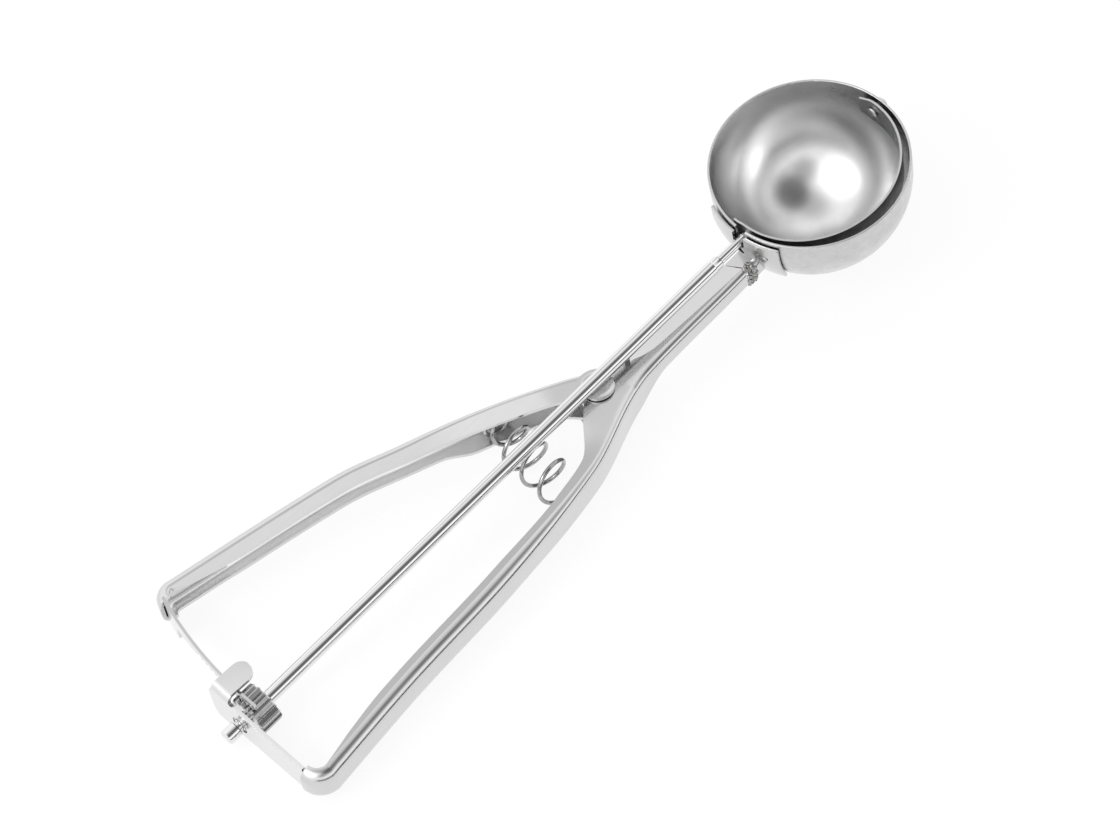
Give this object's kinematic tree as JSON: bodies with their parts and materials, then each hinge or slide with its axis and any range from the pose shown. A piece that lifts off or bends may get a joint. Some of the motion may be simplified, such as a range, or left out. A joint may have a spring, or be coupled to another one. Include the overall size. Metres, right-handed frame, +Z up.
{
  "type": "ice cream scoop",
  "caption": "Squeeze-handle ice cream scoop in polished stainless steel: hemispherical bowl, sweeping wiper blade, toothed rack and pinion, long wiper rod and return spring",
  "frame": {"origin": "on the hinge axis of the two grips, at the flat underside of its rivet", "axes": "+X along the tool towards the bowl, +Y towards the moving lever, +Z up through the bowl's open mouth and along the hinge rivet"},
  "size_m": [0.2265, 0.0683, 0.031],
  "materials": {
    "grip_steel": "polished",
    "strip_steel": "polished",
    "bowl_steel": "satin",
    "bracket_steel": "satin",
    "rivet_steel": "satin",
    "rod_steel": "polished",
    "pinion_steel": "satin",
    "spring_wire": "polished"
  },
  "bodies": {
    "frame": {"handle_frame": "grip_steel", "end_plate": "grip_steel", "pivot_rivet": "rivet_steel", "bowl": "bowl_steel", "saddle_bracket": "bracket_steel", "return_spring": "spring_wire"},
    "lever": {"lever": "grip_steel", "rack": "strip_steel"},
    "wiper": {"wiper_rod": "rod_steel", "pinion": "pinion_steel", "blade_shaft": "rod_steel", "wiper_blade": "strip_steel", "far_pivot_pin": "rivet_steel"}
  },
  "joints": [
    {"name": "lever_pivot", "type": "hinge", "parent": "frame", "child": "lever", "pos_m": [0, 0, 0.0062], "axis": [0, 0, 1], "range_deg": [0, 7.5], "stiffness_Nm_per_rad": 5, "springref_deg": -11.46, "deforming": ["return_spring"]},
    {"name": "wiper_spin", "type": "hinge", "parent": "frame", "child": "wiper", "pos_m": [0, 0, 0.01455], "axis": [0.9971, 0, 0.0767], "range_deg": [0, 180]}
  ],
  "couplings": [
    {"joint": "wiper_spin", "follows": "lever_pivot", "ratio": 24}
  ]
}
